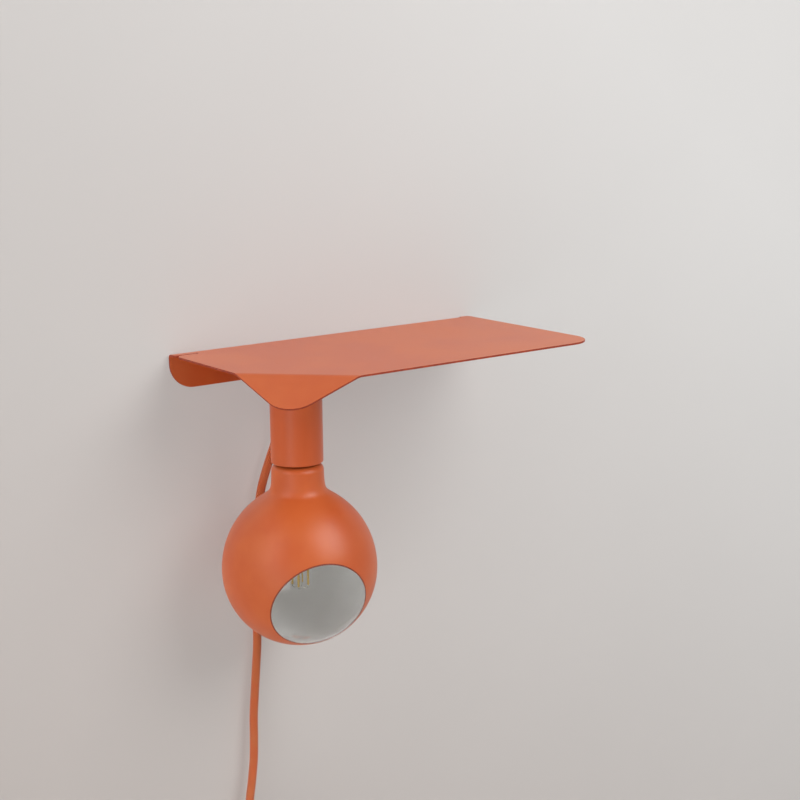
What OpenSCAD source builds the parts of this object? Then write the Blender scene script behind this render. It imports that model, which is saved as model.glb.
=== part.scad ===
// Wall lamp with shelf: a folded steel shelf, a lamp holder that hangs under it on a magnet,
// a lacquered globe bulb with a round window, and a textile cord with switch and plug.
// Origin: midway between the two wall holes, on the wall. +X right, +Y into the wall, +Z up.

/* [Shelf] */
// Length of the shelf along the wall
shelf_l = 310; // [260:5:400]
// Depth of the shelf from the wall
shelf_d = 170; // [150:5:220]
// Thickness of the steel sheet
sheet_t = 1.5; // [1.2:0.1:2]
// Height of the wall flange, top face to lower edge
flange_h = 29; // [26:1:40]
// Length of sheet folded down at the front left corner, along each edge
flap_leg = 67; // [50:1:80]
// Angle that the corner flap is folded down
flap_angle = 30; // [15:1:45]
// Radius of the soft bend at the corner flap
flap_bend_r = 8; // [5:1:12]

/* [Wall holes] */
// Distance between the two wall holes
hole_spacing = 120; // [80:5:160]
// Diameter of a wall hole
hole_d = 4.5; // [3.5:0.5:6]
// Depth of the wall holes under the shelf's top face
hole_drop = 15; // [13:1:18]

/* [Lamp holder] */
// Holder's axis from the shelf's left edge
holder_from_left = 72; // [70:1:90]
// Holder's axis from the wall
holder_from_wall = 74; // [70:1:85]
// Outer diameter of the holder cup
cup_d = 42; // [41:0.5:46]
// Depth of the cup's rim under the shelf's underside
cup_drop = 83.5; // [82:0.5:84]
// Turn of the holder on its magnet, with the cord's exit, seen from above
aim = -20; // [-22:1:-18]

/* [Globe bulb] */
// Diameter of the globe
globe_d = 125; // [120:1:126]
// Depth of the globe's centre under the shelf's underside
globe_drop = 172; // [171:0.5:175]
// Height of the globe's fuller upper half
globe_rise = 66.5; // [64:0.5:68]
// Diameter of the clear window
window_d = 78; // [60:1:84]
// Tilt of the window below the horizontal
window_tilt = 21; // [0:1:30]
// Turn of the window in the holder, where the screw cap comes tight
bulb_turn = 5; // [-60:5:60]

/* [Cord] */
// Diameter of the textile cord
cord_d = 7.2; // [6:0.1:7.3]
// Distance from one turn of the coil to the next
coil_pitch = 7.8; // [7.8:0.1:8.4]
// Radius of the coil's outer turns, to the middle of the cord
coil_r = 45.5; // [45:0.5:48]

/* [Hidden] */
$fn = 64;
eps = 0.05;

// colours
lacquer = [0.77, 0.34, 0.17];
steel = [0.72, 0.73, 0.75];
brass = [0.80, 0.66, 0.36];
ceramic = [0.93, 0.92, 0.88];
dark = [0.18, 0.18, 0.19];
white = [0.92, 0.92, 0.90];

// shelf: places are measured from its left edge, the wall and its top face
top_z = hole_drop;
under_z = top_z - sheet_t;
flange_t = sheet_t;
flange_end = 10;          // bare right end of the shelf, past the flange
rear_bend_r = 3;          // outside radius where the flange turns down
front_corner_r = 26;      // right corners of the shelf
rear_corner_r = 4;
flange_corner_r = 21;     // lower corners of the flange
flap_tip_r = 22;          // tip of the folded corner
slit_front = 11.1;        // relief slit beside the bend: its two sides, length and end hole
slit_back = 9.5;
slit_l = 20;
slit_end_r = 1.4;
slit_shelf_r = 7.5;       // shelf's rounded corner at the mouth of the slit
slit_strip_r = 4.5;       // bend strip's rounded corner there
flap_tangent = flap_bend_r * tan(flap_angle / 2);

// holder: depths are below the shelf's underside
cup_r = cup_d / 2;
cup_wall = 1.5;
cup_in_r = cup_r - cup_wall;
cup_gap = 0.4;            // cup's top under the shelf
rim_round = 0.8;
pot_r = 16;
pot_h = 8;
pot_wall = 2;
pole_r = 5;
stud_r = 3;
stud_end = 16.6;
deck_top = 8.3;
deck_under = 10.5;
washer_r = 7;
washer_t = 1;
nut_af = 10;
nut_t = 4;
pillar_x = 10.5;
pillar_r = 3;
socket_top = 41.5;
socket_floor = 49.5;
socket_end = 78;
socket_r = 17.5;
socket_bore_r = 14.4;
shell_r = 13.5;
shell_t = 0.5;
shell_top = 52.2;
exit_drop = 34.5;         // the cord's exit
gland_hole_r = 5;
gland_head_r = 6.8;
gland_inner = 13.6;       // gland's two ends, from the holder's axis
gland_tip = cup_r + 12;
nut_inner = 14.4;
gland_nut_d = 15;
gland_nut_t = 3;

// wiring: places from the holder's axis
terminal_x = 6;
terminal_y = -9;
terminal_w = 6.4;
terminal_d = 8.4;
terminal_h = 8;
terminal_bore_r = 1.3;
terminal_screw_r = 1.5;
terminal_head_r = 2.6;
terminal_head_t = 1.6;
wire_drop = socket_top - terminal_h / 2;
core_x = 2.6;             // cores in the gland
core_straight = 11.4;
earth_y = -13;
earth_pad_r = 3.6;
earth_pad_t = 1;
earth_head_r = 2.9;
earth_head_t = 2.2;
slot_w = 0.8;             // driver slots in the screw heads
slot_depth = 0.7;
wire_r = 1.1;
wire_sides = 8;

// bulb
globe_r = globe_d / 2;
glass_t = 1.2;
neck_r = 20.8;            // neck before it flows into the globe
neck_blend = 9.5;
neck_top = 84.5;
shoulder_h = 7;           // rounded shoulder between the neck and the mouth
cap_r = 13.15;
cap_core_r = 12.2;
cap_top = 61;
cap_thread = 3.63;
cap_mouth_r = 13.2;
mouth_lip = 0.4;          // flat land round the mouth
contact_top = 57.6;
filament_ring_r = 6.6;
filament_top = 151;
filament_end = 187;
filament_turn = -31;
filament_r = 0.9;
stem_end = 128;
stem_tip_r = 2.4;
rod_r = 1.3;
bead_r = 1.6;
bead_drop = filament_end + 2.4;
lead_r = 0.35;
lead_sides = 6;
mouth_rise = globe_drop - neck_top;       // the mouth above the globe's centre
outline_end = atan(neck_r / (mouth_rise - shoulder_h));   // from the axis, seen from the centre
outline_steps = 26;
shoulder_steps = 6;

// cord: route points, from the gland's tip down to the switch
drop_route = [
    [-71.7, -43, -21], [-70.3, -39.2, -21], [-67.7, -31.9, -22], [-65.2, -25.1, -25],
    [-63.1, -19.3, -29.8], [-61.4, -14.8, -36], [-60.4, -12, -43.2], [-60.1, -10.8, -51],
    [-60.9, -9.8, -61], [-64.3, -9, -73], [-68.9, -8.3, -85], [-73.2, -7.6, -97],
    [-77, -7, -110], [-80.2, -6.5, -129], [-82.4, -6, -149], [-83.6, -6, -170],
    [-84.1, -6, -190], [-84.2, -6, -210], [-84.2, -6, -230], [-84.7, -6, -247],
    [-86.2, -6, -264], [-89, -7, -287], [-91.5, -8, -309], [-92.5, -9, -328],
    [-94, -10, -347], [-97, -11, -366], [-100, -12, -380], [-102, -13, -392], [-102, -13, -400]
];
cord_x = -102;
switch_y = -13;
switch_top = -400;
switch_l = 64;
switch_w = 27;
switch_t = 21;
switch_split = 0.5;       // part line of the two halves, from the middle
collar_r = 5.4;           // collars that take the cord at both ends
collar_l = 4;
switch_round = collar_l + switch_w / 2;   // centre of the round ends, from the tip
switch_screw_z = 12.5;
switch_screw_r = 2.2;
switch_pocket = 2;        // depth of the screw pockets
rocker_l = 24;
rocker_w = 13;
rocker_tilt = 8;
rocker_pivot_y = -6;
rocker_gap = 0.5;
rocker_pin_r = 1;

coil_layers = 4;
layer_turns = 1.5;
coil_z = -506;
coil_turns = coil_layers * layer_turns;
turn_rings = 24;
coil_sides = 6;
cord_sides = 10;
coil_x = cord_x + coil_r;
coil_end_y = switch_y - (coil_layers - 1) * coil_pitch;
tie_gap = 0.5;
tie_t = 1.2;
tie_w = 10;

tail_end = -544;
plug_neck = 24;
plug_l = 44;
plug_r = 19;
plug_pin_r = 2.4;
plug_pin_l = 19;
plug_pin_gap = 19;

// ---------- general shapes ----------

// ring of points round p, square to direction d
function unit(v) = v / norm(v);
function side_of(d) = unit(cross(d, abs(d[0]) < 0.9 ? [1, 0, 0] : [0, 1, 0]));
function carry(s, d) = unit(s - (s * d) * d);
function along(p, i) = unit(p[min(i + 1, len(p) - 1)] - p[max(i - 1, 0)]);
// the side direction of every ring, carried from one ring to the next without twist
function sides_of(p, i = 0, s = [0, 0, 0], out = []) =
    i == len(p) ? out :
    let (d = along(p, i), n = i == 0 ? side_of(d) : carry(s, d))
    sides_of(p, i + 1, n, concat(out, [n]));

// one closed tube through the points p; r holds one radius or one for each point
module tube(p, r, sides) {
    n = len(p);
    s = sides_of(p);
    rings = [for (i = [0 : n - 1])
        let (d = along(p, i), u = s[i], v = cross(d, u), q = is_list(r) ? r[i] : r)
        for (k = [0 : sides - 1])
            p[i] + q * (cos(360 * k / sides) * u + sin(360 * k / sides) * v)];
    skin = [for (i = [0 : n - 2], k = [0 : sides - 1])
        let (a = i * sides + k, b = i * sides + (k + 1) % sides)
        each [[a, a + sides, b], [b, a + sides, b + sides]]];
    start = [[for (k = [0 : sides - 1]) k]];
    end = [[for (k = [sides - 1 : -1 : 0]) (n - 1) * sides + k]];
    polyhedron(points = rings, faces = concat(skin, start, end), convexity = 8);
}

// square corner left over outside a quarter circle at [0, 0], for rounding the corner away
module corner_waste(r) {
    difference() {
        translate([-eps, -eps]) square(r + eps);
        translate([r, r]) circle(r);
    }
}

module at_holder() {
    translate([holder_from_left - shelf_l / 2, -holder_from_wall, under_z])
        rotate([0, 0, aim]) children();
}

module ring_solid(r_in, r_out, from, to) {
    translate([0, 0, -to]) difference() {
        cylinder(r = r_out, h = to - from);
        translate([0, 0, -1]) cylinder(r = r_in, h = to - from + 2);
    }
}

// ---------- shelf ----------

// everything of the flat blank that stays level, cut straight where the flap's bend starts
module shelf_outline() {
    difference() {
        translate([0, -shelf_d]) square([shelf_l, shelf_d - rear_bend_r]);
        translate([shelf_l, -shelf_d]) mirror([1, 0]) corner_waste(front_corner_r);
        // relief slit with its end hole, and the rounded corners on both sides of its mouth
        translate([-1, -slit_front]) square([slit_l + 1, slit_front - slit_back]);
        translate([slit_l, -slit_back - slit_end_r / 2]) circle(slit_end_r);
        translate([0, -slit_front]) mirror([0, 1]) corner_waste(slit_shelf_r);
        translate([0, -slit_back]) corner_waste(slit_strip_r);
    }
    // level strip past the end of the flange, with its rounded corner
    translate([shelf_l - flange_end, -rear_bend_r - rear_corner_r]) difference() {
        square([flange_end, rear_bend_r + rear_corner_r]);
        translate([flange_end, rear_bend_r + rear_corner_r]) rotate(180)
            corner_waste(rear_corner_r);
    }
}

// the blank's front left corner, a right angle with a rounded tip
module flap_outline() {
    difference() {
        translate([0, -shelf_d]) square(2 * flap_leg);
        translate([0, -shelf_d]) corner_waste(flap_tip_r);
    }
}

// moves to the fold line: X runs along it and -Y points to the folded corner
module at_fold() {
    translate([flap_leg / 2, flap_leg / 2 - shelf_d, 0]) rotate([0, 0, -45]) children();
}

module from_fold() {
    rotate([0, 0, 45]) translate([-flap_leg / 2, shelf_d - flap_leg / 2, 0]) children();
}

// half of the soft bend, from the level sheet towards the corner
module half_bend() {
    translate([0, 0, -flap_bend_r]) rotate([90, 0, 90]) translate([0, 0, -flap_leg])
        linear_extrude(2 * flap_leg) intersection() {
            translate([flap_tangent, 0]) difference() {
                circle(flap_bend_r, $fn = 128);
                circle(flap_bend_r - sheet_t, $fn = 128);
            }
            polygon([[flap_tangent, 0],
                [flap_tangent, flap_bend_r + 1],
                [flap_tangent - (flap_bend_r + 1) * tan(flap_angle / 2), flap_bend_r + 1]]);
        }
}

// level sheet on the wall side of the bend
module level_side(reach) {
    translate([-reach, flap_tangent, -sheet_t]) cube([2 * reach, reach, sheet_t]);
}

module flange_outline() {
    difference() {
        translate([0, -flange_h]) square([shelf_l - flange_end, flange_h - rear_bend_r]);
        translate([0, -flange_h]) corner_waste(flange_corner_r);
        translate([shelf_l - flange_end, -flange_h]) mirror([1, 0]) corner_waste(flange_corner_r);
        for (side = [-1, 1])
            translate([shelf_l / 2 + side * hole_spacing / 2, -hole_drop]) circle(d = hole_d);
    }
}

module shelf() {
    color(lacquer) translate([-shelf_l / 2, 0, top_z]) {
        // level part with its half of the bend
        intersection() {
            translate([0, 0, -shelf_d]) linear_extrude(2 * shelf_d) shelf_outline();
            at_fold() {
                half_bend();
                level_side(2 * shelf_l);
            }
        }
        // folded corner with the other half
        at_fold() rotate([flap_angle, 0, 0]) rotate([0, 0, 180]) intersection() {
            rotate([0, 0, 180]) from_fold()
                translate([0, 0, -shelf_d]) linear_extrude(2 * shelf_d) flap_outline();
            union() {
                half_bend();
                level_side(flap_leg);
            }
        }
        // bend to the wall flange
        translate([0, -rear_bend_r, -rear_bend_r]) rotate([90, 0, 90])
            linear_extrude(shelf_l - flange_end) intersection() {
                difference() {
                    circle(rear_bend_r);
                    circle(rear_bend_r - sheet_t);
                }
                square(rear_bend_r);
            }
        rotate([90, 0, 0]) linear_extrude(flange_t) flange_outline();
    }
}

// ---------- magnet foot ----------

module magnet_pot() {
    color(steel) at_holder() {
        translate([0, 0, -pot_h]) difference() {
            cylinder(r = pot_r, h = pot_h);
            translate([0, 0, pot_wall]) difference() {
                cylinder(r = pot_r - pot_wall, h = pot_h);
                cylinder(r = pole_r, h = pot_h);
            }
        }
        translate([0, 0, -stud_end]) cylinder(r = stud_r, h = stud_end - pot_h);
    }
}

module magnet_ring() {
    color(dark) at_holder()
        ring_solid(pole_r + eps, pot_r - pot_wall - eps, 0.2, pot_h - pot_wall);
}

module magnet_washer() {
    color(steel) at_holder()
        ring_solid(stud_r + eps, washer_r, deck_under, deck_under + washer_t);
}

module magnet_nut() {
    color(steel) at_holder() translate([0, 0, -deck_under - washer_t - nut_t]) difference() {
        cylinder(d = nut_af / cos(30), h = nut_t, $fn = 6);
        translate([0, 0, -1]) cylinder(r = stud_r + eps, h = nut_t + 2);
    }
}

// ---------- lamp holder ----------

module holder_cup() {
    color(lacquer) at_holder() difference() {
        rotate_extrude($fn = 128) difference() {
            union() {
                translate([stud_r + 0.3, -deck_under])
                    square([cup_r - stud_r - 0.3, deck_under - cup_gap]);
                translate([cup_in_r, -cup_drop]) square([cup_wall, cup_drop - cup_gap]);
            }
            translate([0, -deck_top]) square([pot_r + 0.3, deck_top]);
            translate([cup_r, -cup_drop]) mirror([1, 0]) corner_waste(rim_round);
            translate([cup_r, -cup_gap]) rotate(180) corner_waste(rim_round);
        }
        translate([0, 0, -exit_drop]) rotate([-90, 0, 0]) cylinder(r = gland_hole_r, h = 2 * cup_r);
    }
}

module socket_pillars() {
    color(steel) at_holder() for (side = [-1, 1])
        translate([side * pillar_x, 0, -socket_top])
            cylinder(r = pillar_r, h = socket_top - deck_under);
}

module socket_body() {
    color(ceramic) at_holder() difference() {
        rotate_extrude() difference() {
            translate([0, -socket_end]) square([socket_r, socket_end - socket_top]);
            translate([0, -socket_end]) square([socket_bore_r, socket_end - socket_floor]);
            translate([socket_r, -socket_top]) rotate(180) corner_waste(1.5);
            translate([socket_r, -socket_end]) mirror([1, 0]) corner_waste(1);
        }
        for (side = [-1, 1])
            translate([side * pillar_x, 0, -socket_end]) cylinder(r = 1.7, h = socket_end);
    }
}

module socket_screws() {
    color(steel) at_holder() for (side = [-1, 1])
        translate([side * pillar_x, 0, -socket_floor]) mirror([0, 0, 1])
            slotted_screw(2.7, 1.8, 1.5, socket_floor - socket_top);
}

// rolled thread seen as even waves along the wall
function wave(r, depth, from, to, pitch) =
    [for (k = [0 : 1 : (to - from) / pitch * 8])
        [r - depth * (1 - cos(45 * k)) / 2, -from - k * pitch / 8]];

module thread_shell() {
    steps = floor((socket_end - 2 - shell_top) / cap_thread);
    last = shell_top + steps * cap_thread;
    inner = wave(shell_r, -0.3, shell_top, last, cap_thread);
    color(brass) at_holder() rotate_extrude() polygon(concat(
        inner,
        [for (k = [len(inner) - 1 : -1 : 0]) inner[k] + [shell_t, 0]]));
}

module centre_contact() {
    color(brass) at_holder() translate([0, 4, 0]) rotate([90, 0, 0]) linear_extrude(8) polygon([
        [-7, -socket_floor], [-7, -socket_floor - 0.6], [-3, -socket_floor - 0.6],
        [3, -contact_top + 0.1], [6, -contact_top + 0.1], [6, -contact_top + 0.7],
        [2.6, -contact_top + 0.7], [-2.7, -socket_floor]]);
}

module terminals() {
    color(brass) at_holder() for (side = [-1, 1])
        translate([side * terminal_x, terminal_y, -socket_top]) difference() {
            translate([-terminal_w / 2, -terminal_d / 2, 0]) cube([terminal_w, terminal_d, terminal_h]);
            translate([0, 0, terminal_h / 2]) rotate([-90, 0, 0])
                cylinder(r = terminal_bore_r, h = terminal_d);
            translate([0, 0, terminal_h / 2]) cylinder(r = terminal_screw_r + 0.1, h = terminal_h);
        }
}

// screw head with a driver slot on top, and its shank below
module slotted_screw(head_r, head_t, shank_r, shank_l) {
    difference() {
        cylinder(r = head_r, h = head_t);
        translate([-head_r - 1, -slot_w / 2, head_t - slot_depth])
            cube([2 * head_r + 2, slot_w, slot_depth + 1]);
    }
    translate([0, 0, -shank_l]) cylinder(r = shank_r, h = shank_l + eps);
}

module terminal_screws() {
    color(steel) at_holder() for (side = [-1, 1])
        translate([side * terminal_x, terminal_y, terminal_h - socket_top])
            slotted_screw(terminal_head_r, terminal_head_t, terminal_screw_r, 2.6);
}

module earth_screw() {
    color(brass) at_holder() translate([0, earth_y, -deck_under]) mirror([0, 0, 1]) {
        cylinder(r = earth_pad_r, h = earth_pad_t);
        translate([0, 0, earth_pad_t]) slotted_screw(earth_head_r, earth_head_t, 1.5, 0.5);
    }
}

module wire(points, tint) {
    color(tint) at_holder() tube(points, wire_r, wire_sides);
}

// core from the gland to its terminal, on one side of the holder's axis
function core_route(side) = [
    [side * core_x, gland_inner, -exit_drop], [side * core_x, core_straight, -exit_drop],
    [side * 3.6, 7.5, -exit_drop - 0.6], [side * 5, 3.5, -exit_drop - 1.8],
    [side * terminal_x, -0.5, -wire_drop + 0.2], [side * terminal_x, -3.5, -wire_drop],
    [side * terminal_x, terminal_y + 2, -wire_drop]];

module live_wire() {
    wire(core_route(-1), [0.45, 0.27, 0.15]);
}

module neutral_wire() {
    wire(core_route(1), [0.20, 0.38, 0.70]);
}

module earth_wire() {
    lug = -deck_under - earth_pad_t - earth_head_t;
    wire([[0, gland_inner, -exit_drop + core_x], [0, core_straight, -exit_drop + core_x],
        [0, 7.5, -30.8], [0, 2.5, -27.5], [0, -3, -23.5], [0, -8.5, -20],
        [0, earth_y + 1, lug - 3], [0, earth_y, lug - 1.2], [0, earth_y, lug]], [0.45, 0.62, 0.22]);
}

module cord_gland() {
    shank_r = gland_hole_r - 0.1;
    seat = cup_r + 0.8;
    color(dark) at_holder() translate([0, 0, -exit_drop]) rotate([-90, 0, 0])
        rotate_extrude() polygon([
            [0, gland_inner], [shank_r, gland_inner], [shank_r, seat],
            [gland_head_r, seat], [gland_head_r, seat + 1.2], [gland_head_r - 0.6, seat + 2],
            [cord_d / 2 + 0.8, gland_tip - 0.4], [cord_d / 2 + 0.4, gland_tip], [0, gland_tip]]);
}

module gland_nut() {
    color(steel) at_holder() translate([0, nut_inner, -exit_drop]) rotate([-90, 0, 0]) difference() {
        cylinder(d = gland_nut_d, h = gland_nut_t, $fn = 6);
        translate([0, 0, -1]) cylinder(r = gland_hole_r, h = gland_nut_t + 2);
    }
}

// ---------- cord, switch, coil and plug ----------

module cord_drop() {
    color(lacquer) tube(drop_route, cord_d / 2, cord_sides);
}

// switch outline from the front, with round ends
module switch_outline() {
    translate([-switch_w / 2, switch_round]) square([switch_w, switch_l - 2 * switch_round]);
    for (z = [switch_round, switch_l - switch_round]) translate([0, z]) circle(switch_w / 2);
}

module at_switch() {
    translate([cord_x, switch_y, switch_top - switch_l]) children();
}

// one half of the switch's body with its collars, between two depths
module switch_half(from, to) {
    at_switch() {
        translate([0, to, 0]) rotate([90, 0, 0]) linear_extrude(to - from) switch_outline();
        intersection() {
            cylinder(r = collar_r, h = switch_l);
            translate([-collar_r, from, 0]) cube([2 * collar_r, to - from, switch_l]);
        }
    }
}

module at_switch_screws() {
    at_switch() for (z = [switch_screw_z, switch_l - switch_screw_z])
        translate([0, switch_t / 2 - switch_pocket, z]) rotate([-90, 0, 0]) children();
}

module switch_base() {
    color(dark) difference() {
        switch_half(switch_split, switch_t / 2);
        at_switch_screws() cylinder(r = switch_screw_r + 0.2, h = switch_pocket + 1);
    }
}

module switch_cover() {
    color(dark) difference() {
        switch_half(-switch_t / 2, switch_split);
        at_switch() translate([-rocker_w / 2 - rocker_gap, -switch_t, (switch_l - rocker_l) / 2 - 1])
            cube([rocker_w + 2 * rocker_gap, switch_t - 1, rocker_l + 2]);
    }
}

module switch_screws() {
    color(steel) at_switch_screws() translate([0, 0, 0.1]) slotted_screw(switch_screw_r, 1.5, 1, 0);
}

module rocker_pin() {
    width = rocker_w + 2 * rocker_gap;
    color(steel) at_switch() translate([-width / 2, rocker_pivot_y, switch_l / 2])
        rotate([0, 90, 0]) cylinder(r = rocker_pin_r, h = width);
}

// rocker: a bar with a shallow V on top, tipped to its off side
module switch_rocker() {
    color(white) at_switch() translate([0, rocker_pivot_y, switch_l / 2])
        rotate([rocker_tilt, 0, 0]) translate([-rocker_w / 2, 0, 0]) rotate([90, 0, 90])
            linear_extrude(rocker_w) difference() {
                polygon([[3.2, -5], [3.2, 5], [-3, rocker_l / 2 - 0.8], [-6.2, rocker_l / 2 - 0.4],
                    [-4.6, 0], [-6.2, -rocker_l / 2 + 0.4], [-3, -rocker_l / 2 + 0.8]]);
                circle(r = rocker_pin_r + 0.05);
            }
}

module cord_link() {
    color(lacquer) tube([[cord_x, switch_y, switch_top - switch_l],
        [cord_x, switch_y, (switch_top - switch_l + coil_z + cord_d) / 2],
        [cord_x, switch_y, coil_z + cord_d]], cord_d / 2, cord_sides);
}

// coil of four layers: turn by turn it winds in and out again, and it climbs to the next layer
// in the half turn where it reverses
function coil_fold(t) = let (m = t % (2 * layer_turns)) m < layer_turns ? m : 2 * layer_turns - m;
function coil_radius(t) = coil_r - coil_pitch * coil_fold(t);
function ramp(u) = u <= 0 ? 0 : u >= 1 ? 1 : (1 - cos(180 * u)) / 2;
function coil_layer(t, k = 1) =
    k == coil_layers ? 0 : ramp((t - k * layer_turns + 0.25) / 0.5) + coil_layer(t, k + 1);
function coil_point(t) = [
    coil_x - coil_radius(t) * cos(360 * t),
    switch_y - coil_pitch * coil_layer(t),
    coil_z - coil_radius(t) * sin(360 * t)];
coil_path = concat(
    [[cord_x, switch_y, coil_z + cord_d]],
    [for (k = [0 : coil_turns * turn_rings]) coil_point(k / turn_rings)],
    [[cord_x, coil_end_y, coil_z - cord_d]]);
// least gap between turns, measured between points at least a quarter turn apart
coil_gap = min([for (i = [0 : len(coil_path) - 1], j = [i + 6 : 1 : len(coil_path) - 1])
    norm(coil_path[i] - coil_path[j])]) - cord_d;
echo(coil_gap = coil_gap);
function path_length(p, i = 0) = i >= len(p) - 1 ? 0 : norm(p[i + 1] - p[i]) + path_length(p, i + 1);
echo(drop_length = path_length(drop_route), coil_length = path_length(coil_path));

module cord_coil() {
    color(lacquer) tube(coil_path, cord_d / 2, coil_sides);
}

module tie_ring(grow) {
    r_in = coil_r - coil_pitch * layer_turns - cord_d / 2 - tie_gap - grow;
    r_out = coil_r + cord_d / 2 + tie_gap + grow;
    y_in = switch_y + cord_d / 2 + tie_gap + grow;
    y_out = coil_end_y - cord_d / 2 - tie_gap - grow;
    difference() {
        translate([y_out, r_in]) square([y_in - y_out, r_out - r_in]);
        for (a = [0, 1], b = [0, 1])
            translate([a ? y_in : y_out, b ? r_out : r_in])
                mirror([a, 0]) mirror([0, b]) corner_waste(2 + grow);
    }
}

module coil_tie() {
    color(dark) translate([coil_x - tie_w / 2, 0, coil_z]) rotate([90, 0, 90])
        linear_extrude(tie_w) difference() {
            tie_ring(tie_t);
            tie_ring(0);
        }
}

module cord_tail() {
    color(lacquer) tube([[cord_x, coil_end_y, coil_z - cord_d],
        [cord_x, coil_end_y, (coil_z - cord_d + tail_end) / 2],
        [cord_x, coil_end_y, tail_end]], cord_d / 2, cord_sides);
}

module at_plug() {
    translate([cord_x, coil_end_y, tail_end]) children();
}

module plug_body() {
    face = plug_neck + plug_l;
    color(dark) at_plug() difference() {
        rotate_extrude() polygon([
            [0, 0], [4.6, 0], [5, -1], [6.8, -plug_neck + 2], [8, -plug_neck],
            [11, -plug_neck - 4], [15.5, -plug_neck - 9], [17, -plug_neck - 15],
            [17, -plug_neck - 24], [plug_r, -plug_neck - 28], [plug_r, -face + 1], [plug_r - 1, -face],
            [0, -face]]);
        // side recesses for the earth strips
        for (side = [0, 180]) rotate([0, 0, side])
            translate([-3.2, plug_r - 2.2, -face - 1]) cube([6.4, 4, 16]);
        // finger grips
        for (side = [0, 180], k = [0 : 4]) rotate([0, 0, side])
            translate([16.4, -20, -plug_neck - 22 + k * 2.4]) cube([3, 40, 1]);
    }
}

module plug_pins() {
    face = plug_neck + plug_l;
    color(steel) at_plug() for (side = [-1, 1])
        translate([side * plug_pin_gap / 2, 0, -face]) rotate([180, 0, 0]) rotate_extrude() polygon([
            [0, 0], [plug_pin_r, 0], [plug_pin_r, plug_pin_l - 1.6], [plug_pin_r - 0.5, plug_pin_l - 0.5],
            [plug_pin_r - 1.3, plug_pin_l], [0, plug_pin_l]]);
}

module plug_earth_strips() {
    face = plug_neck + plug_l;
    color(steel) at_plug() for (side = [0, 180]) rotate([0, 0, side])
        translate([-2.8, plug_r - 2.2, -face + 1]) cube([5.6, 0.8, 13.8]);
}

// ---------- bulb ----------

// point of the bulb's outline, seen from the globe's centre at an angle from its axis:
// an egg shape and the straight neck flow into each other
function outline_at(angle, inset) =
    let (u = sin(angle), v = cos(angle),
        egg = 1 / sqrt(pow(u / (globe_r - inset), 2) + pow(v / (globe_rise - inset), 2)),
        neck = (neck_r - inset) / u,
        reach = (egg + neck + sqrt(pow(egg - neck, 2) + pow(neck_blend, 2))) / 2)
    [reach * u, reach * v];
// from the neck's wall round to the land at the mouth
function shoulder(from, inset) =
    let (end = [cap_mouth_r + mouth_lip, mouth_rise - inset])
    [for (k = [1 : shoulder_steps]) let (t = 90 * k / shoulder_steps)
        [end[0] + (from[0] - end[0]) * cos(t), from[1] + (end[1] - from[1]) * sin(t)]];
function upper_profile(inset) = concat(
    [for (k = [0 : outline_steps])
        outline_at(90 + (outline_end - 90) * k / outline_steps, inset)],
    shoulder(outline_at(outline_end, inset), inset),
    [[0, mouth_rise - inset], [0, 0]]);

module globe_solid(inset) {
    rotate_extrude($fn = 128) {
        polygon(upper_profile(inset));
        intersection() {
            circle(outline_at(90, inset)[0], $fn = 128);
            translate([0, -globe_r - 1]) square([globe_r + 1, globe_r + 1]);
        }
    }
}

module window_cutter() {
    rotate([90 + window_tilt, 0, 0]) cylinder(d = window_d, h = globe_r + 10, $fn = 128);
}

module at_bulb() {
    at_holder() rotate([0, 0, bulb_turn]) children();
}

module at_globe() {
    at_bulb() translate([0, 0, -globe_drop]) children();
}

module globe_wall() {
    difference() {
        globe_solid(0);
        globe_solid(glass_t);
        translate([0, 0, globe_r / 2]) cylinder(r = cap_mouth_r, h = globe_r);
    }
}

module globe_shell() {
    color(lacquer) at_globe() difference() {
        globe_wall();
        window_cutter();
    }
}

module globe_window() {
    color([0.9, 0.93, 0.95, 0.35]) at_globe() intersection() {
        globe_wall();
        window_cutter();
    }
}

module bulb_cap() {
    thread = wave(cap_r, cap_r - cap_core_r, cap_top + 3, cap_top + 3 + 5 * cap_thread, cap_thread);
    last = thread[len(thread) - 1];
    color(steel) at_holder() rotate_extrude() polygon(concat(
        [[8.5, -cap_top], [11.6, -cap_top]], thread,
        [[cap_r, last[1] - 0.6], [cap_r - 0.1, -neck_top - 2], [cap_core_r - 0.6, -neck_top - 2],
        [cap_core_r - 0.6, -cap_top - 1], [8.5, -cap_top - 0.6]]));
}

module cap_insulator() {
    color(dark) at_holder() rotate_extrude() polygon([
        [0, -cap_top - 2], [8.4, -cap_top - 2], [8.4, -cap_top], [11.2, -cap_top + eps],
        [6.5, -contact_top - 1.1], [0, -contact_top - 1.1]]);
}

module cap_contact() {
    color(brass) at_holder() rotate_extrude() polygon([
        [0, -contact_top - 1.05], [4.8, -contact_top - 1.05], [4.6, -contact_top - 0.4],
        [3.6, -contact_top], [0, -contact_top]]);
}

// flared stem with its pinch, and the rod that carries the strands' lower ends
module glass_stem() {
    color([0.9, 0.93, 0.95, 0.35]) at_bulb() {
        rotate_extrude() polygon([
            [11, -neck_top - 2.2], [11.6, -neck_top - 2.6], [11, -neck_top - 6], [6, -neck_top - 12],
            [4.6, -neck_top - 20], [4.4, -stem_end + 6], [stem_tip_r, -stem_end], [0, -stem_end],
            [0, -stem_end + 4], [3, -neck_top - 20], [4.4, -neck_top - 12], [9.6, -neck_top - 6]]);
        translate([0, 0, -bead_drop]) cylinder(r = rod_r, h = bead_drop - stem_end + eps);
        translate([0, 0, -bead_drop]) sphere(r = bead_r, $fn = 32);
    }
}

// place of strand k at radius r and depth z
function strand_at(k, r, z) =
    [r * cos(filament_turn + 90 * k), r * sin(filament_turn + 90 * k), -z];

module lead(points) {
    tube(points, lead_r, lead_sides);
}

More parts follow.
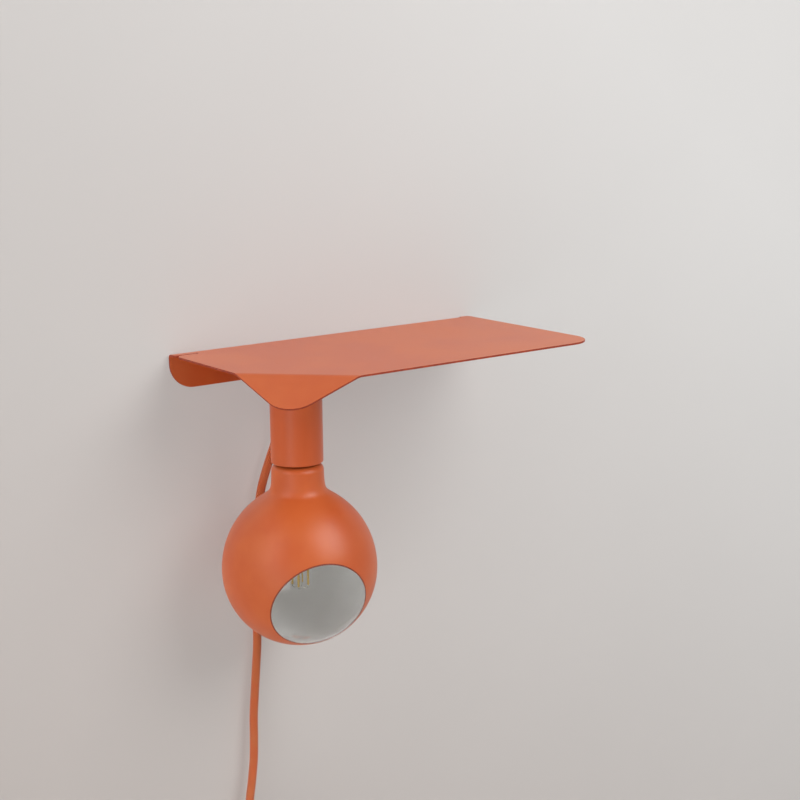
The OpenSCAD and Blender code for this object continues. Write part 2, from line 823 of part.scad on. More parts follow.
// leads from the stem's pinch to the strands, and from the strands to the bead
module support_wires() {
    pinch_r = (rod_r + stem_tip_r) / 2;
    color(steel) at_bulb() for (k = [0 : 3]) {
        lead([strand_at(k, pinch_r, stem_end), strand_at(k, pinch_r, stem_end + 2.5),
            strand_at(k, pinch_r + 1.6, stem_end + 6), strand_at(k, filament_ring_r - 0.4, filament_top - 8),
            strand_at(k, filament_ring_r, filament_top - 4), strand_at(k, filament_ring_r, filament_top)]);
        lead([strand_at(k, filament_ring_r, filament_end), strand_at(k, filament_ring_r, filament_end + 1.2),
            strand_at(k, filament_ring_r - 1, bead_drop), strand_at(k, bead_r + eps, bead_drop)]);
    }
}

module led_filaments() {
    color([0.93, 0.78, 0.35]) at_bulb() for (k = [0 : 3])
        translate(strand_at(k, filament_ring_r, filament_end))
            cylinder(r = filament_r, h = filament_end - filament_top, $fn = 24);
}

module driver_board() {
    color([0.25, 0.45, 0.3]) at_bulb() {
        translate([-8, -0.5, -84]) cube([16, 1, 19]);
        translate([0, 3.6, -82]) cylinder(r = 3, h = 9);
        translate([-6, 0.4, -72]) cube([4.5, 3, 5]);
        translate([2, 0.4, -72]) cube([4, 2.4, 4]);
    }
}

shelf();
magnet_pot();
magnet_ring();
magnet_washer();
magnet_nut();
holder_cup();
socket_pillars();
socket_body();
socket_screws();
thread_shell();
centre_contact();
terminals();
terminal_screws();
earth_screw();
live_wire();
neutral_wire();
earth_wire();
cord_gland();
gland_nut();
cord_drop();
switch_base();
switch_cover();
switch_screws();
rocker_pin();
switch_rocker();
cord_link();
cord_coil();
coil_tie();
cord_tail();
plug_body();
plug_pins();
plug_earth_strips();
globe_shell();
globe_window();
bulb_cap();
cap_insulator();
cap_contact();
glass_stem();
support_wires();
led_filaments();
driver_board();
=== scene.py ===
"""Looks of the wall lamp with shelf: lacquered sheet, lacquered globe bulb, braided cord.

Sections: places from the frame, shader tools, mesh tools, camera, finishes, cord, shelf,
globe bulb, finishes of the CAD nodes, stage and light.
"""

import functools
import math

import bmesh
import bpy
from mathutils import Matrix, Vector


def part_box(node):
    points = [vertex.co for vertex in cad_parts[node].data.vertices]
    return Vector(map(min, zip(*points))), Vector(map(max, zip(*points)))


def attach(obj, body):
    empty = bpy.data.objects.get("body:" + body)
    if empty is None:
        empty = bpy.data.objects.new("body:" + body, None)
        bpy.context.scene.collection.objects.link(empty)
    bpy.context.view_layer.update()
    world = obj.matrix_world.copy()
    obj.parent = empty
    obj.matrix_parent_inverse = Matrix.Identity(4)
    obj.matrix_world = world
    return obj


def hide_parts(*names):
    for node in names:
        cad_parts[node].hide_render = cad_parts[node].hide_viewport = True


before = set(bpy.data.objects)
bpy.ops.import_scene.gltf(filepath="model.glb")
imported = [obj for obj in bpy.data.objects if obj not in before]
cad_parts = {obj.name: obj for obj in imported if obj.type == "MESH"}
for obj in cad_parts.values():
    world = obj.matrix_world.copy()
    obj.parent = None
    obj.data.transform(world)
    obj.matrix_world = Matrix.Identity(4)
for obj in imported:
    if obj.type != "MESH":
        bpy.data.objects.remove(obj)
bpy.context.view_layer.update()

MM = 0.001
TURN = 2 * math.pi

# ---------- places taken from the frame ----------

SHELF_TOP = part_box("shelf")[1].z
cup_low, cup_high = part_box("holder_cup")
HOLDER_X = (cup_low.x + cup_high.x) / 2
HOLDER_Y = (cup_low.y + cup_high.y) / 2
SHEET_T = 1.5 * MM
UNDER_Z = SHELF_TOP - SHEET_T
BULB_AIM = math.radians(-15)     # turn of the bulb's window, seen from above


def at_bulb(depth):
    """The place on the bulb's axis, turned as its window is, at a depth under the shelf."""
    place = Matrix.Translation((HOLDER_X, HOLDER_Y, UNDER_Z - depth))
    return place @ Matrix.Rotation(BULB_AIM, 4, "Z")


# ---------- shader tools ----------


class Value:
    """An output of one of the nodes. Arithmetic on it adds Math nodes."""

    def __init__(self, nodes, socket):
        self.nodes, self.socket = nodes, socket

    def math(self, operation, *inputs):
        return self.nodes.node("ShaderNodeMath", {"operation": operation}, dict(enumerate(inputs)))

    def __add__(self, other):
        return self.math("ADD", self, other)

    __radd__ = __add__

    def __sub__(self, other):
        return self.math("SUBTRACT", self, other)

    def __rsub__(self, other):
        return self.math("SUBTRACT", other, self)

    def __mul__(self, other):
        return self.math("MULTIPLY", self, other)

    __rmul__ = __mul__

    def __truediv__(self, other):
        return self.math("DIVIDE", self, other)

    def __pow__(self, other):
        return self.math("POWER", self, other)

    def fraction(self):
        return self.math("FRACT", self)

    def floor(self):
        return self.math("FLOOR", self)

    def sine(self):
        return self.math("SINE", self)

    def least(self, other):
        return self.math("MINIMUM", self, other)

    def most(self, other):
        return self.math("MAXIMUM", self, other)

    def rising(self, low, high):
        """0 below low, 1 above high, smooth between them."""
        return self.nodes.node("ShaderNodeMapRange", {"interpolation_type": "SMOOTHSTEP"},
                               {"Value": self, "From Min": low, "From Max": high})

    def choose(self, zero, one):
        """zero where this is 0 and one where it is 1."""
        return one * self + zero * (1 - self)


class Nodes:
    """The nodes of a material or of the world."""

    def __init__(self, tree, last):
        self.tree, self.last = tree, tree.nodes[last]

    def node(self, kind, settings=None, inputs=None, output=0):
        """Adds a node of a type, with its settings and the values or links of its sockets."""
        made = self.tree.nodes.new(kind)
        for key, value in (settings or {}).items():
            setattr(made, key, value)
        self.feed(made, inputs or {})
        return Value(self, made.outputs[output])

    def feed(self, made, inputs):
        for key, value in inputs.items():
            if isinstance(value, Value):
                self.tree.links.new(value.socket, made.inputs[key])
            else:
                made.inputs[key].default_value = value

    def ray(self, *kinds):
        """1 for rays of any of these kinds, such as Camera or Shadow."""
        found = [self.node("ShaderNodeLightPath", output=f"Is {kind} Ray") for kind in kinds]
        return functools.reduce(Value.most, found)

    def blend_shaders(self, share, zero, one):
        """The shader zero where share is 0, and one where it is 1."""
        return self.node("ShaderNodeMixShader", {}, {0: share, 1: zero, 2: one})

    def show(self, shader):
        """Makes this shader the one that is seen."""
        self.feed(self.last, {"Surface": shader})


class Finish(Nodes):
    """One material, built from nodes."""

    def __init__(self, name):
        self.material = bpy.data.materials.new(name)
        self.material.use_nodes = True
        super().__init__(self.material.node_tree, "Material Output")
        self.shader = self.tree.nodes["Principled BSDF"]
        self.shaded = Value(self, self.shader.outputs[0])

    def coords(self):
        """The place on the piece, in metres of the shared frame."""
        return self.node("ShaderNodeTexCoord", output="Object")

    def map_axes(self, name):
        """The two coordinates of the piece's own UV map."""
        return self.axes(self.node("ShaderNodeUVMap", {"uv_map": name}))[:2]

    def axes(self, spot):
        """The three coordinates of a place."""
        split = self.tree.nodes.new("ShaderNodeSeparateXYZ")
        self.feed(split, {0: spot})
        return [Value(self, out) for out in split.outputs]

    def noise(self, spot, per_metre, detail):
        """Soft noise of so many blotches a metre."""
        return self.node("ShaderNodeTexNoise", {},
                         {"Vector": spot, "Scale": per_metre, "Detail": detail})

    def cells(self, spot, per_metre):
        """Distance to the middle of scattered cells, so many a metre."""
        return self.node("ShaderNodeTexVoronoi", {}, {"Vector": spot, "Scale": per_metre})

    def mix(self, share, zero, one):
        """A colour between zero, where share is 0, and one, where it is 1."""
        return self.node("ShaderNodeMix", {"data_type": "RGBA"}, {0: share, 6: zero, 7: one}, 2)

    def bump(self, height, depth):
        """A normal from a height of 0 to 1 that stands for a real depth."""
        return self.node("ShaderNodeBump", {}, {"Height": height, "Distance": depth})

    def surface(self, **sockets):
        """Sets the shader's sockets. Underscores in a name stand for spaces."""
        self.feed(self.shader, {key.replace("_", " "): value for key, value in sockets.items()})
        return self.material


def colour(red, green, blue):
    """A shader colour from a screen colour of 0 to 255."""
    def linear(c):
        c /= 255
        return c / 12.92 if c <= 0.04045 else ((c + 0.055) / 1.055) ** 2.4
    return (linear(red), linear(green), linear(blue), 1)


# ---------- mesh tools ----------

WELD = 1e-6                      # metres within which points are one
SHARP = math.radians(32)         # faces that meet at more than this make an edge
FLAT = math.radians(0.6)         # faces that meet at less than this are one


def moved(bm, matrix):
    """Moves or turns the whole mesh."""
    bmesh.ops.transform(bm, matrix=matrix, verts=bm.verts)


def revolve(bm, profile, steps):
    """Spins points of (radius, height) about the Z axis into a skin."""
    verts = [bm.verts.new((r, 0, z)) for r, z in profile]
    edges = [bm.edges.new(pair) for pair in zip(verts, verts[1:])]
    bmesh.ops.spin(bm, geom=verts + edges, cent=(0, 0, 0), axis=(0, 0, 1), angle=TURN,
                   steps=steps, use_merge=True)
    bmesh.ops.remove_doubles(bm, verts=bm.verts, dist=WELD)


def rounded(bm, offset, segments):
    """Bevels every edge that is sharp."""
    edges = [e for e in bm.edges if e.is_manifold and e.calc_face_angle() > SHARP]
    bmesh.ops.bevel(bm, geom=edges, offset=offset, offset_type="OFFSET", segments=segments,
                    profile=0.5, affect="EDGES", clamp_overlap=True, material=-1)


def finished(bm, name, body, slot, *finishes, replaces=(), open_sheet=False):
    """Makes the mesh a piece that rides on a body and takes the given finishes."""
    if not open_sheet:
        bmesh.ops.recalc_face_normals(bm, faces=bm.faces)
    for face in bm.faces:
        face.smooth = True
    mesh = bpy.data.meshes.new(name)
    bm.to_mesh(mesh)
    bm.free()
    for finish in finishes:
        mesh.materials.append(finish)
    piece = bpy.data.objects.new(name, mesh)
    bpy.context.scene.collection.objects.link(piece)
    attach(piece, body)
    if replaces:
        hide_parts(*replaces)
    return piece


def even_shading(piece):
    """Lets the large faces decide the shading where they meet narrow bevels."""
    piece.modifiers.new("even shading", "WEIGHTED_NORMAL").keep_sharp = True
    return piece


def softened(node, name, body, slot, finish, edge, segments):
    """A CAD node's shape with its sharp edges rounded as moulding or pressing leaves them."""
    bm = bmesh.new()
    bm.from_mesh(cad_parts[node].data)
    bmesh.ops.remove_doubles(bm, verts=bm.verts, dist=WELD)
    bmesh.ops.dissolve_limit(bm, angle_limit=FLAT, verts=bm.verts, edges=bm.edges)
    rounded(bm, edge, segments)
    return even_shading(finished(bm, name, body, slot, finish, replaces=[node]))


# ---------- camera ----------

CAMERA_PLACE = (-0.7227, -1.0648, 0.2293)
CAMERA_YAW, CAMERA_DOWN, CAMERA_ROLL = (math.radians(a) for a in (36.87, 12.0, -0.55))
LENS, SENSOR = 68.14, 36         # millimetres


def place_camera():
    """The photograph's view, solved from the edges of shelf, flange, cup and globe."""
    data = bpy.data.cameras.new("camera")
    data.lens, data.sensor_width = LENS, SENSOR
    camera = bpy.data.objects.new("camera", data)
    bpy.context.scene.collection.objects.link(camera)
    camera.matrix_world = (
        Matrix.Translation(CAMERA_PLACE)
        @ Matrix.Rotation(-CAMERA_YAW, 4, "Z")
        @ Matrix.Rotation(math.radians(90) - CAMERA_DOWN, 4, "X")
        @ Matrix.Rotation(CAMERA_ROLL, 4, "Z")
    )
    bpy.context.scene.camera = camera


place_camera()

# ---------- finishes ----------

ORANGE = colour(206, 101, 49)
ORANGE_DEEP = colour(199, 91, 42)
BRIGHT_WHITE = colour(252, 251, 249)


def lacquered_metal():
    """Satin powder coat: a fine orange peel with a grain in it."""
    f = Finish("satin powder coat")
    spot = f.coords()
    cloud = f.noise(spot, 16, 3)
    peel = f.noise(spot, 620, 2)
    grain = f.noise(spot, 3600, 1)
    return f.surface(
        Base_Color=f.mix(cloud.rising(0.35, 0.65), ORANGE_DEEP, ORANGE),
        Roughness=0.27 + 0.08 * cloud + 0.06 * grain,
        Normal=f.bump(0.75 * peel + 0.25 * grain, 0.045 * MM),
        IOR=1.5,
    )


def painted_edge_shade():
    """The sheet's cut edge, painted darker all along: a painted shade on every cut edge."""
    f = Finish("painted shade on cut edge")
    spot = f.coords()
    uneven_tone = f.noise(spot, 240, 3).rising(0.35, 0.75)
    grain = f.noise(spot, 3600, 1)
    return f.surface(Base_Color=f.mix(uneven_tone, colour(142, 46, 16), colour(168, 62, 26)),
                     Roughness=0.5 + 0.1 * grain, Normal=f.bump(grain, 0.02 * MM))


def lacquered_glass():
    """Sprayed lacquer on glass: smoother than powder coat, with a slow flow in it."""
    f = Finish("satin lacquer on glass")
    spot = f.coords()
    cloud = f.noise(spot, 22, 3)
    flow = f.noise(spot, 260, 2)
    return f.surface(
        Base_Color=f.mix(cloud.rising(0.35, 0.65), ORANGE_DEEP, ORANGE),
        Roughness=0.36 + 0.08 * cloud,
        Normal=f.bump(flow, 0.03 * MM),
        IOR=1.5,
    )


def lacquer_edge():
    """The lacquer round the window and the glass's cut faces, painted darker: a painted shade along
    the window's edge.
    """
    f = Finish("lacquer edge")
    speck = f.noise(f.coords(), 1400, 2)
    return f.surface(Base_Color=f.mix(speck, colour(104, 34, 16), colour(140, 52, 26)),
                     Roughness=0.45 + 0.1 * speck)


def inner_white():
    """White reflecting coat inside the globe."""
    f = Finish("white inner coat")
    spot = f.coords()
    cloud = f.noise(spot, 40, 3)
    return f.surface(
        Base_Color=f.mix(cloud.rising(0.3, 0.7), colour(247, 246, 243), BRIGHT_WHITE),
        Roughness=0.5 + 0.1 * cloud,
        Normal=f.bump(f.noise(spot, 900, 2), 0.03 * MM),
    )


def clear_glass():
    """Blown glass that lets the lamps' light through to what is behind it."""
    f = Finish("clear glass")
    wave = f.noise(f.coords(), 30, 1)
    f.surface(Base_Color=(0.985, 0.99, 0.99, 1), Transmission_Weight=1.0, IOR=1.45,
              Roughness=0.012 + 0.012 * wave, Normal=f.bump(wave, 0.02 * MM))
    f.show(f.blend_shaders(f.ray("Shadow"), f.shaded, f.node("ShaderNodeBsdfTransparent")))
    return f.material


CORD_MAP = "braid"
CORD_D = 7.2 * MM
CARRIERS = 9                     # yarn bundles that run each way round the cord
LAY = math.pi * CORD_D / CARRIERS   # cord length from one bundle's crossing to the next
YARNS = 5                        # ridges of yarn across a bundle
BRAID_DEPTH = 0.42 * MM


def braided_textile():
    """Braid of two sets of yarn bundles that cross over and under each other, with painted
    highlights on the bundles' tops and painted shade in the gaps between them.
    """
    f = Finish("braided textile")
    around, along = f.map_axes(CORD_MAP)
    left = around * CARRIERS + along / LAY
    right = around * CARRIERS - along / LAY
    over = ((left.floor() + right.floor()) * 0.5).fraction() * 2

    def bundle(across, lengthwise):
        """A bundle's round back, highest in the middle of its float."""
        back = (across.fraction() * math.pi).sine()
        return back ** 0.6 * (0.55 + 0.45 * (lengthwise.fraction() * math.pi).sine())

    height = over.choose(bundle(left, right), bundle(right, left))
    yarn_phase = over.choose(left.fraction(), right.fraction())
    yarn = (yarn_phase * (YARNS * math.pi)).sine() ** 2
    fuzz = f.noise(f.coords(), 5200, 3)
    tint = f.noise(f.coords(), 90, 2)
    # painted light and shade: the tops of the bundles are painted light as if lit, and the gaps
    # between them painted deep and dark as if in shade
    shade = (height ** 2.4 * 1.3 + 0.1 * yarn + 0.1 * (fuzz - 0.5)).most(0).least(1)
    # the colour painted on the lit tops of the bundles, in two random tints
    light = f.mix(tint.rising(0.35, 0.65), colour(255, 130, 68), colour(255, 142, 80))
    return f.surface(
        # colour(112, 32, 12) is the painted shade in the gaps
        Base_Color=f.mix(shade, colour(112, 32, 12), light),
        Roughness=0.62 + 0.16 * fuzz,
        Normal=f.bump(0.8 * height + 0.14 * yarn + 0.06 * fuzz, BRAID_DEPTH),
        Sheen_Weight=0.12,
        Sheen_Roughness=0.5,
    )


def moulded(name, low, high, rough):
    """Moulded plastic with the fine texture of a spark-eroded tool."""
    f = Finish(name)
    spot = f.coords()
    spark = f.noise(spot, 2600, 3)
    cloud = f.noise(spot, 60, 2)
    return f.surface(Base_Color=f.mix(cloud, low, high), Roughness=rough + 0.12 * spark,
                     Normal=f.bump(spark, 0.03 * MM))


def metal(name, low, high, rough):
    """Plated or bare metal with a fine grain and a faint stain."""
    f = Finish(name)
    spot = f.coords()
    grain = f.noise(spot, 1500, 3)
    cloud = f.noise(spot, 120, 3)
    return f.surface(Base_Color=f.mix(cloud, low, high), Metallic=1.0,
                     Roughness=rough + 0.14 * cloud + 0.08 * grain,
                     Normal=f.bump(grain, 0.008 * MM))


def glazed_ceramic():
    """White glaze that pools a little, with a few darker specks."""
    f = Finish("glazed ceramic")
    spot = f.coords()
    specks = f.cells(spot, 420).rising(0.04, 0.09)
    flow = f.noise(spot, 160, 2)
    return f.surface(Base_Color=f.mix(specks, colour(196, 188, 172), colour(236, 233, 224)),
                     Roughness=0.16 + 0.12 * flow, Normal=f.bump(flow, 0.06 * MM), Coat_Weight=0.5)


def ferrite():
    """Grey sintered powder with an open grain."""
    f = Finish("pressed ferrite")
    spot = f.coords()
    grain = f.noise(spot, 2400, 4)
    return f.surface(Base_Color=f.mix(grain, colour(38, 37, 38), colour(70, 68, 67)),
                     Roughness=0.62 + 0.25 * grain, Metallic=0.25, Normal=f.bump(grain, 0.06 * MM))


RIB_SPACING = 0.9 * MM


def woven_strap():
    """Hook and loop strap: fine ribs with a fuzzy nap."""
    f = Finish("black strap")
    spot = f.coords()
    nap = f.noise(spot, 4200, 4)
    ribs = (f.axes(spot)[0] * (TURN / RIB_SPACING)).sine() * 0.5 + 0.5
    shade = nap * 0.7 + ribs * 0.3
    return f.surface(Base_Color=f.mix(shade, colour(20, 20, 21), colour(62, 61, 62)),
                     Roughness=0.85 + 0.1 * nap,
                     Normal=f.bump(0.5 * ribs + 0.5 * nap, 0.25 * MM))


def wire_insulation(name, tint):
    """Soft plastic in one tint that is cloudy where it was drawn over the wire."""
    f = Finish(name)
    cloud = f.noise(f.coords(), 300, 2)
    dark = tuple(0.75 * c for c in tint[:3]) + (1,)
    return f.surface(Base_Color=f.mix(cloud, dark, tint), Roughness=0.38 + 0.1 * cloud)


CHIP_SPACING = 1.35 * MM


def phosphor():
    """Silicone with yellow phosphor over a row of small light chips."""
    f = Finish("phosphor coat")
    spot = f.coords()
    chips = (f.axes(spot)[2] * (TURN / CHIP_SPACING)).sine().rising(0.2, 0.9)
    cloud = f.noise(spot, 700, 2)
    between = f.mix(cloud, colour(206, 168, 62), colour(222, 186, 84))
    return f.surface(
        Base_Color=f.mix(chips, colour(226, 190, 92), between),
        Roughness=0.42 + 0.12 * cloud, Normal=f.bump(cloud, 0.05 * MM),
        Subsurface_Weight=0.15, Subsurface_Radius=(0.4 * MM, 0.3 * MM, 0.1 * MM))


def black_glass():
    """The dark glass between the cap's shell and its contact."""
    f = Finish("black glass")
    flow = f.noise(f.coords(), 300, 2)
    return f.surface(Base_Color=f.mix(flow, colour(14, 14, 18), colour(26, 25, 30)),
                     Roughness=0.1 + 0.08 * flow, Normal=f.bump(flow, 0.04 * MM))


def circuit_board():
    """Solder mask over copper tracks that follow a grid."""
    f = Finish("circuit board")
    spot = f.coords()
    tracks = f.node("ShaderNodeTexBrick", {},
                    {"Vector": spot, "Scale": 420.0, "Mortar Size": 0.03}, "Fac")
    cloud = f.noise(spot, 500, 2)
    return f.surface(Base_Color=f.mix(tracks, colour(34, 92, 58), colour(70, 126, 84)),
                     Roughness=0.3 + 0.15 * cloud, Normal=f.bump(tracks, 0.04 * MM))


POWDER_COAT = lacquered_metal()
# the sheet's cut edges get a finish of painted shade
EDGE_SHADE_PAINT = painted_edge_shade()
LACQUER = lacquered_glass()
LACQUER_EDGE = lacquer_edge()
INNER_WHITE = inner_white()
CLEAR_GLASS = clear_glass()
TEXTILE = braided_textile()
BLACK_PLASTIC = moulded("black plastic", colour(24, 24, 25), colour(36, 36, 37), 0.42)
WHITE_PLASTIC = moulded("white plastic", colour(226, 224, 218), colour(236, 235, 230), 0.34)
ZINC_STEEL = metal("zinc plated steel", colour(170, 174, 180), colour(206, 206, 200), 0.26)
NICKEL = metal("nickel plated brass", colour(196, 192, 182), colour(222, 219, 212), 0.16)
BRASS = metal("brass", colour(190, 150, 74), colour(220, 184, 104), 0.24)
CERAMIC = glazed_ceramic()
FERRITE = ferrite()
STRAP = woven_strap()
BROWN_WIRE = wire_insulation("brown insulation", colour(98, 58, 36))
BLUE_WIRE = wire_insulation("blue insulation", colour(44, 90, 168))
EARTH_WIRE = wire_insulation("green and yellow insulation", colour(120, 160, 52))
BLACK_GLASS = black_glass()
PHOSPHOR = phosphor()
BOARD = circuit_board()

# ---------- cord ----------

# route of the hanging stretch, in millimetres, from the gland's tip to the switch
DROP_ROUTE = [
    (-71.7, -43, -21), (-70.3, -39.2, -21), (-67.7, -31.9, -22), (-65.2, -25.1, -25),
    (-63.1, -19.3, -29.8), (-61.4, -14.8, -36), (-60.4, -12, -43.2), (-60.1, -10.8, -51),
    (-60.9, -9.8, -61), (-64.3, -9, -73), (-68.9, -8.3, -85), (-73.2, -7.6, -97),
    (-77, -7, -110), (-80.2, -6.5, -129), (-82.4, -6, -149), (-83.6, -6, -170),
    (-84.1, -6, -190), (-84.2, -6, -210), (-84.2, -6, -230), (-84.7, -6, -247),
    (-86.2, -6, -264), (-89, -7, -287), (-91.5, -8, -309), (-92.5, -9, -328),
    (-94, -10, -347), (-97, -11, -366), (-100, -12, -380), (-102, -13, -392), (-102, -13, -400),
]
CORD_X, SWITCH_Y = -102, -13
SWITCH_RUN = (-416, -432, -448, -464, -482)     # heights of the straight run through the switch
COIL_LAYERS, LAYER_TURNS, COIL_PITCH, COIL_R, COIL_Z = 4, 1.5, 7.8, 45.5, -506
CLIMB = 0.5                      # turns that the cord takes to climb a layer
COIL_LEAD = 7.2                  # straight run into the coil and out of it
COIL_POINTS = 24                 # points of the route on a turn
COIL_X = CORD_X + COIL_R
COIL_END_Y = SWITCH_Y - (COIL_LAYERS - 1) * COIL_PITCH
TAIL_RUN = (-528, -544)          # heights of the straight run into the plug
CORD_SIDES = 24
RING_STEP = 1.9                  # from ring to ring


def coil_point(t):
    """Place on the coil after t turns.

    It winds in and out again, and climbs a layer at each reversal."""
    along = t % (2 * LAYER_TURNS)
    inwards = min(along, 2 * LAYER_TURNS - along)
    radius = COIL_R - COIL_PITCH * inwards
    layer = 0
    for k in range(1, COIL_LAYERS):
        rise = min(max((t - k * LAYER_TURNS + CLIMB / 2) / CLIMB, 0), 1)
        layer += (1 - math.cos(math.pi * rise)) / 2
    return (COIL_X - radius * math.cos(TURN * t), SWITCH_Y - COIL_PITCH * layer,
            COIL_Z - radius * math.sin(TURN * t))


def smooth_line(points, step, parts=24):
    """Points a step apart on a smooth curve through the given ones.

    The curve between two of them is first drawn in so many parts."""
    ends = [2 * points[0] - points[1]] + points + [2 * points[-1] - points[-2]]
    dense = []
    for a, b, c, d in zip(ends, ends[1:], ends[2:], ends[3:]):
        for k in range(parts):
            t = k / parts
            dense.append(0.5 * (2 * b + (c - a) * t + (2 * a - 5 * b + 4 * c - d) * t ** 2
                                + (3 * b - a - 3 * c + d) * t ** 3))
    dense.append(points[-1])
    line, left = [dense[0]], step
    for a, b in zip(dense, dense[1:]):
        gap = (b - a).length
        while gap >= left > 0:
            a = a.lerp(b, left / gap)
            gap = (b - a).length
            line.append(a)
            left = step
        left -= gap
    return line[:-1] + [dense[-1]]


def cord_line():
    """The whole centreline in metres: the hanging stretch, the switch, the coil and the tail."""
    turns = COIL_LAYERS * LAYER_TURNS
    route = [Vector(p) for p in DROP_ROUTE]
    route += [Vector((CORD_X, SWITCH_Y, z)) for z in (*SWITCH_RUN, COIL_Z + COIL_LEAD)]
    route += [Vector(coil_point(k / COIL_POINTS)) for k in range(1, int(turns * COIL_POINTS))]
    route += [Vector((CORD_X, COIL_END_Y, z)) for z in (COIL_Z - COIL_LEAD, *TAIL_RUN)]
    return [p * MM for p in smooth_line(route, RING_STEP)]


def sweep(bm, line, radius, sides):
    """Draws a ring along the line.

    Two layers keep each point's share of the ring and its way along, for the map of the braid."""
    around = bm.verts.layers.float.new("around")
    along = bm.verts.layers.float.new("along")
    ways = [(after - before).normalized()
            for before, after in zip(line[:1] + line[:-1], line[1:] + line[-1:])]
    side = ways[0].cross(Vector((0, 0, 1))).normalized()
    ring = bmesh.ops.create_circle(bm, segments=sides, radius=radius)["verts"]
    for v in ring:
        v[around] = math.atan2(v.co.y, v.co.x) / TURN % 1
    bmesh.ops.contextual_create(bm, geom=ring)
    place = Matrix.Identity(4)
    way_along, before = 0.0, line[0]
    edges = [e for e in bm.edges if e.is_boundary or e.is_wire or len(e.link_faces) == 1]
    for i, (spot, way) in enumerate(zip(line, ways)):
        side = (side - side.dot(way) * way).normalized()
        other = way.cross(side)
        to = Matrix((side, other, way)).transposed().to_4x4()
        to.translation = spot
        if i:
            drawn = bmesh.ops.extrude_edge_only(bm, edges=edges)["geom"]
            ring = [g for g in drawn if isinstance(g, bmesh.types.BMVert)]
            on_ring = set(ring)
            edges = [g for g in drawn if isinstance(g, bmesh.types.BMEdge)
                     and g.verts[0] in on_ring and g.verts[1] in on_ring]
        bmesh.ops.transform(bm, matrix=to @ place.inverted(), verts=ring)
        way_along += (spot - before).length
        for v in ring:
            v[along] = way_along
        place, before = to, spot
    bmesh.ops.contextual_create(bm, geom=ring)
    uv = bm.loops.layers.uv.new(CORD_MAP)
    for face in bm.faces:
        shares = [loop.vert[around] for loop in face.loops]
        wraps = len(face.verts) == 4 and max(shares) - min(shares) > 0.5
        for loop, share in zip(face.loops, shares):
            loop[uv].uv = (share + (1 if wraps and share < 0.5 else 0), loop.vert[along])


def make_cord(pieces_on_it):
    """One unbroken cord from the gland to the plug."""
    line = cord_line()
    bm = bmesh.new()
    sweep(bm, line, CORD_D / 2, CORD_SIDES)
    cord = finished(bm, "textile_cord", "holder", "cord_textile", TEXTILE,
                    replaces=["cord_drop", "cord_link", "cord_coil", "cord_tail"])
    length = sum((b - a).length for a, b in zip(line, line[1:]))


# pieces on the cord: node, piece, body, slot, finish, radius of the moulded edges and its segments
MOULDED = [
    ("switch_base", "switch_base_shell", "holder", "black_plastic", BLACK_PLASTIC, 0.9 * MM, 3),
    ("switch_cover", "switch_cover_shell", "holder", "black_plastic", BLACK_PLASTIC, 0.9 * MM, 3),
    ("switch_rocker", "rocker_button", "rocker", "white_plastic", WHITE_PLASTIC, 0.5 * MM, 3),
    ("plug_body", "plug_shell", "holder", "black_plastic", BLACK_PLASTIC, 0.5 * MM, 2),
    ("coil_tie", "tie_strap", "holder", "black_strap", STRAP, 0.3 * MM, 2),
]
KEPT_ON_CORD = ("switch_screws", "rocker_pin", "plug_pins", "plug_earth_strips", "cord_gland")

make_cord([softened(*row) for row in MOULDED] + [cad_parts[name] for name in KEPT_ON_CORD])

# ---------- shelf ----------

SHELF_L, SHELF_D = 310 * MM, 170 * MM
FLANGE_H, FLANGE_END = 29 * MM, 10 * MM
REAR_R, FLAP_R, FLAP_LEG, FLAP_ANGLE = 3 * MM, 8 * MM, 67 * MM, math.radians(30)
FRONT_CORNER_R, REAR_CORNER_R = 26 * MM, 4 * MM
FLANGE_CORNER_R, FLAP_TIP_R = 21 * MM, 22 * MM
SLIT_FRONT, SLIT_BACK, SLIT_L = 11.1 * MM, 9.5 * MM, 20 * MM
SLIT_END_R, SLIT_SHELF_R, SLIT_STRIP_R = 1.4 * MM, 7.5 * MM, 4.5 * MM
HOLE_SPACING, HOLE_DROP, HOLE_R = 120 * MM, 15 * MM, 2.25 * MM
NOTCH = 0.2 * MM                 # cut between the bend and the level strip past it
COATED_EDGE_W = 0.25 * MM        # width that the coat rounds off at each edge
FLANGE_SIDE = SHELF_L - FLANGE_END
FLAT_END = -REAR_R + REAR_R * math.pi / 2 + FLANGE_H - REAR_R   # the flange's end on the blank


def fold(bm, start, across, axis, angle, radius, steps, takes=lambda co: True):
    """Bends the flat sheet in steps: what lies past start, along across, turns about the axis.

    Only the points that takes says yes to are turned."""
    chord = 2 * radius * math.sin(abs(angle) / steps / 2)
    lines = [start + across * chord * k for k in range(steps + 1)]
    for line in lines:
        bmesh.ops.bisect_plane(bm, geom=bm.verts[:] + bm.edges[:] + bm.faces[:], dist=WELD,
                               plane_co=line, plane_no=across)
    reach = {v: (v.co - start).dot(across) for v in bm.verts if takes(v.co)}
    for k in range(steps, -1, -1):
        turn = angle / steps * (0.5 if k in (0, steps) else 1)
        past = [v for v, d in reach.items() if d > chord * k + WELD]
        bmesh.ops.rotate(bm, cent=lines[k], matrix=Matrix.Rotation(turn, 3, axis), verts=past)


